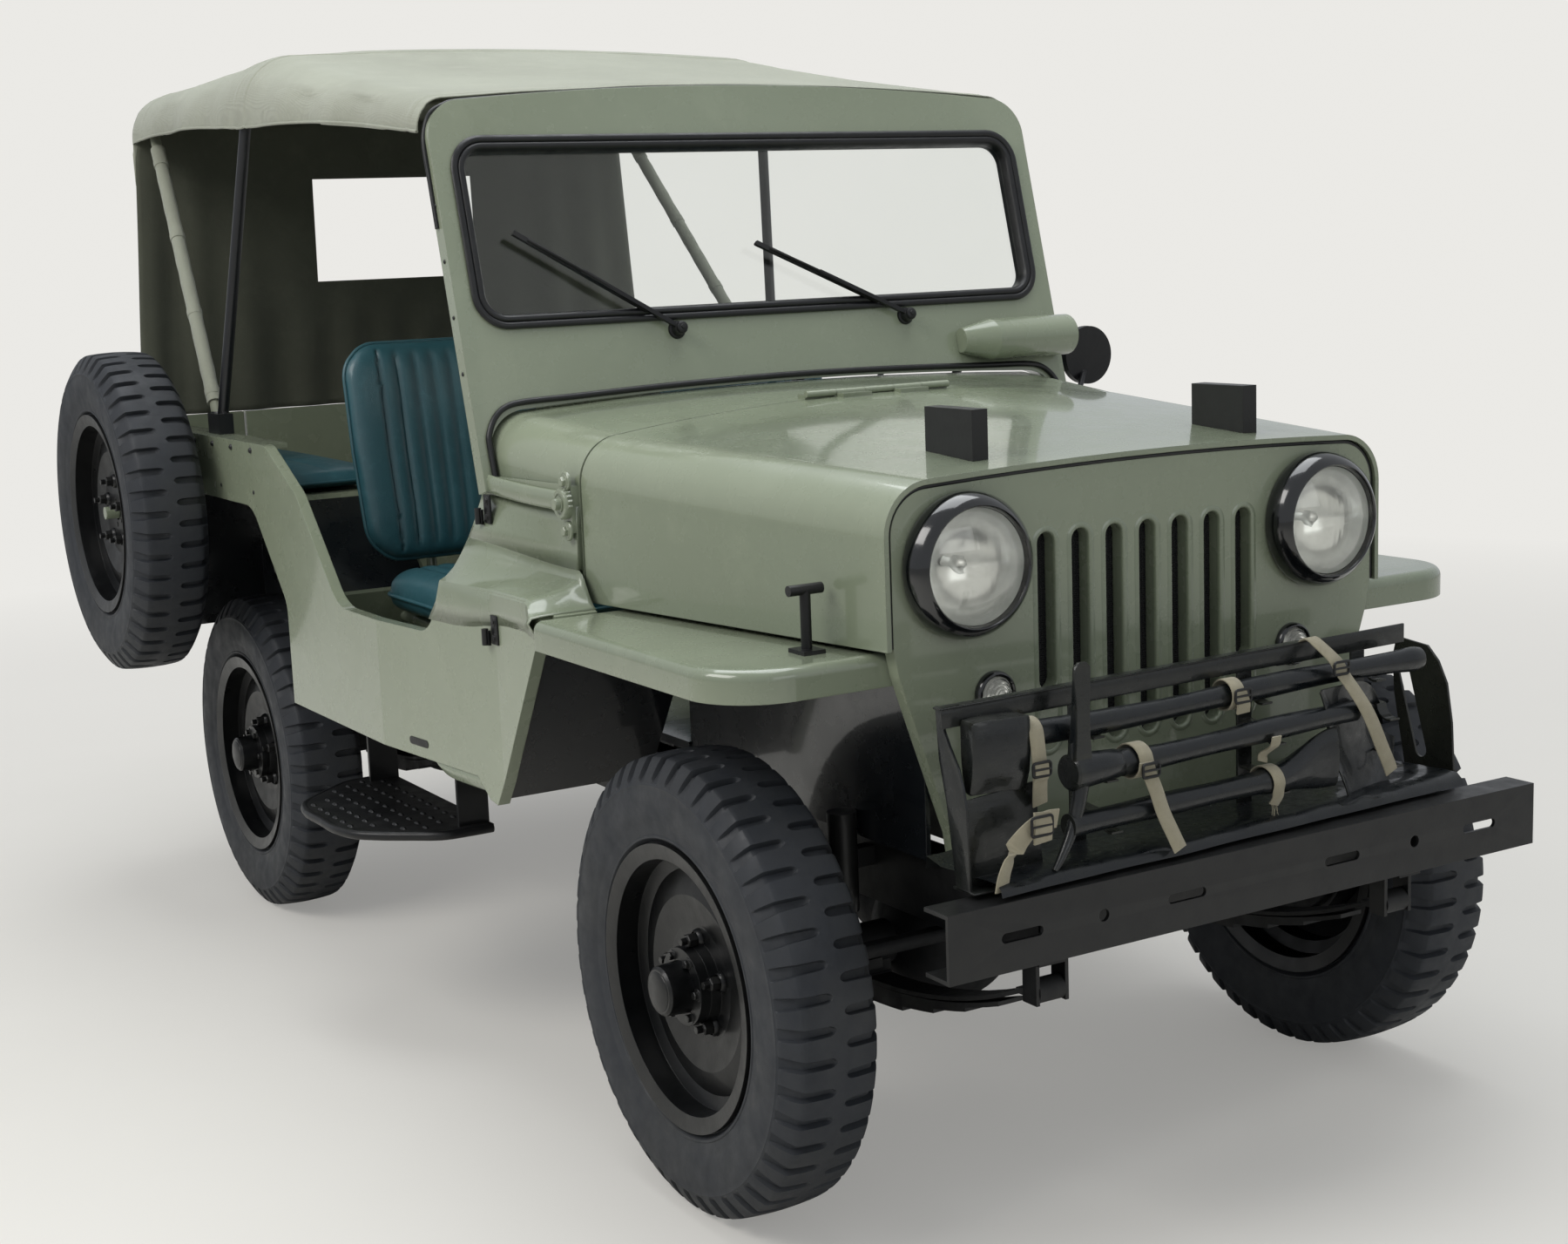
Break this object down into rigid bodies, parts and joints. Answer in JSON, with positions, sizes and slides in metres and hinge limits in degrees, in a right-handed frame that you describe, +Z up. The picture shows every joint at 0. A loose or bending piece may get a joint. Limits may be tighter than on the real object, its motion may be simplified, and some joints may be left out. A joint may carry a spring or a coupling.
{
  "type": "army 4x4 car",
  "caption": "Open army 4x4 car with canvas canopy, steered front wheels, turning road wheels, opening hood and tailgate, spare wheel, and a front rack with an axe, a mattock and a shovel.",
  "frame": {"origin": "on the ground under the middle of the bounding box", "axes": "+X to the car's left, +Y to its rear, +Z up; the front faces -Y"},
  "size_m": [1.899, 3.29, 1.905],
  "materials": {
    "body_paint": "gloss",
    "chassis_paint": "satin",
    "wheel_paint": "gloss",
    "tyre_rubber": "matte",
    "canvas": "matte",
    "seat_leather": "satin",
    "seal_rubber": "matte",
    "pane_glass": "clear",
    "lamp_glass": "ribbed",
    "lamp_red": "gloss",
    "spring_steel": "satin",
    "tool_wood": "painted",
    "tool_steel": "satin",
    "mirror_metal": "satin"
  },
  "bodies": {
    "vehicle": {"chassis_frame": "chassis_paint", "front_bumper": "chassis_paint", "leaf_springs": "spring_steel", "front_axle": "spring_steel", "rear_axle": "spring_steel", "drive_shafts": "spring_steel", "shock_absorbers": "spring_steel", "exhaust": "spring_steel", "engine": "spring_steel", "gearbox": "spring_steel", "radiator": "chassis_paint", "body_side_right": "body_paint", "body_side_left": "body_paint", "tub_floor": "body_paint", "cowl": "body_paint", "grille": "body_paint", "fender_right": "body_paint", "fender_left": "body_paint", "headlights": "lamp_glass", "parking_lamps": "lamp_glass", "tail_lamps": "lamp_red", "windscreen_frame": "body_paint", "windscreen_seal": "seal_rubber", "windscreen_glass": "pane_glass", "windscreen_housing": "body_paint", "wipers": "chassis_paint", "canopy": "canvas", "canopy_bows": "body_paint", "seat_cushions": "seat_leather", "seat_backs": "seat_leather", "side_cushions": "seat_leather", "seat_frames": "body_paint", "steering_column": "chassis_paint", "tool_rack": "tool_steel", "axe": "tool_wood", "mattock": "tool_wood", "shovel": "tool_wood", "side_step": "chassis_paint", "spare_carrier": "body_paint", "hood_catches": "chassis_paint", "mirror": "mirror_metal", "tyre_spare": "tyre_rubber", "wheel_spare": "wheel_paint"},
    "hood": {"hood": "body_paint", "hood_blocks": "tool_wood"},
    "tailgate": {"tailgate": "body_paint"},
    "knuckle_right": {"knuckle_right": "spring_steel"},
    "knuckle_left": {"knuckle_left": "spring_steel"},
    "tie_rod": {"tie_rod": "spring_steel"},
    "steering_wheel": {"steering_wheel": "chassis_paint"},
    "road_wheel_front_right": {"tyre_front_right": "tyre_rubber", "wheel_front_right": "wheel_paint"},
    "road_wheel_front_left": {"tyre_front_left": "tyre_rubber", "wheel_front_left": "wheel_paint"},
    "road_wheel_rear_right": {"tyre_rear_right": "tyre_rubber", "wheel_rear_right": "wheel_paint"},
    "road_wheel_rear_left": {"tyre_rear_left": "tyre_rubber", "wheel_rear_left": "wheel_paint"}
  },
  "joints": [
    {"name": "steer_right", "type": "hinge", "parent": "vehicle", "child": "knuckle_right", "pos_m": [-0.5, -1.1, 0.355], "axis": [0, 0, 1], "range_deg": [-25, 25]},
    {"name": "steer_left", "type": "hinge", "parent": "vehicle", "child": "knuckle_left", "pos_m": [0.5, -1.1, 0.355], "axis": [0, 0, 1], "range_deg": [-25, 25]},
    {"name": "tie_rod_pivot", "type": "hinge", "parent": "knuckle_right", "child": "tie_rod", "pos_m": [-0.5, -1.275, 0.4123], "axis": [0, 0, 1], "range_deg": [-25, 25]},
    {"name": "steering_wheel_turn", "type": "hinge", "parent": "vehicle", "child": "steering_wheel", "pos_m": [0.365, -0.09, 1.135], "axis": [0, 0.7986, 0.6018], "range_deg": [-350, 350]},
    {"name": "wheel_front_right_spin", "type": "hinge", "parent": "knuckle_right", "child": "road_wheel_front_right", "pos_m": [-0.613, -1.1, 0.355], "axis": [1, 0, 0], "continuous": true},
    {"name": "wheel_front_left_spin", "type": "hinge", "parent": "knuckle_left", "child": "road_wheel_front_left", "pos_m": [0.613, -1.1, 0.355], "axis": [1, 0, 0], "continuous": true},
    {"name": "wheel_rear_right_spin", "type": "hinge", "parent": "vehicle", "child": "road_wheel_rear_right", "pos_m": [-0.613, 0.934, 0.355], "axis": [1, 0, 0], "continuous": true},
    {"name": "wheel_rear_left_spin", "type": "hinge", "parent": "vehicle", "child": "road_wheel_rear_left", "pos_m": [0.613, 0.934, 0.355], "axis": [1, 0, 0], "continuous": true},
    {"name": "hood_hinge", "type": "hinge", "parent": "vehicle", "child": "hood", "pos_m": [0, -0.67, 1.195], "axis": [-1, 0, 0], "range_deg": [0, 88]},
    {"name": "tailgate_hinge", "type": "hinge", "parent": "vehicle", "child": "tailgate", "pos_m": [0, 1.563, 0.621], "axis": [-1, 0, 0], "range_deg": [0, 90]}
  ],
  "couplings": [
    {"joint": "steer_left", "follows": "steer_right", "ratio": 1},
    {"joint": "tie_rod_pivot", "follows": "steer_right", "ratio": -1},
    {"joint": "steering_wheel_turn", "follows": "steer_right", "ratio": 14}
  ]
}
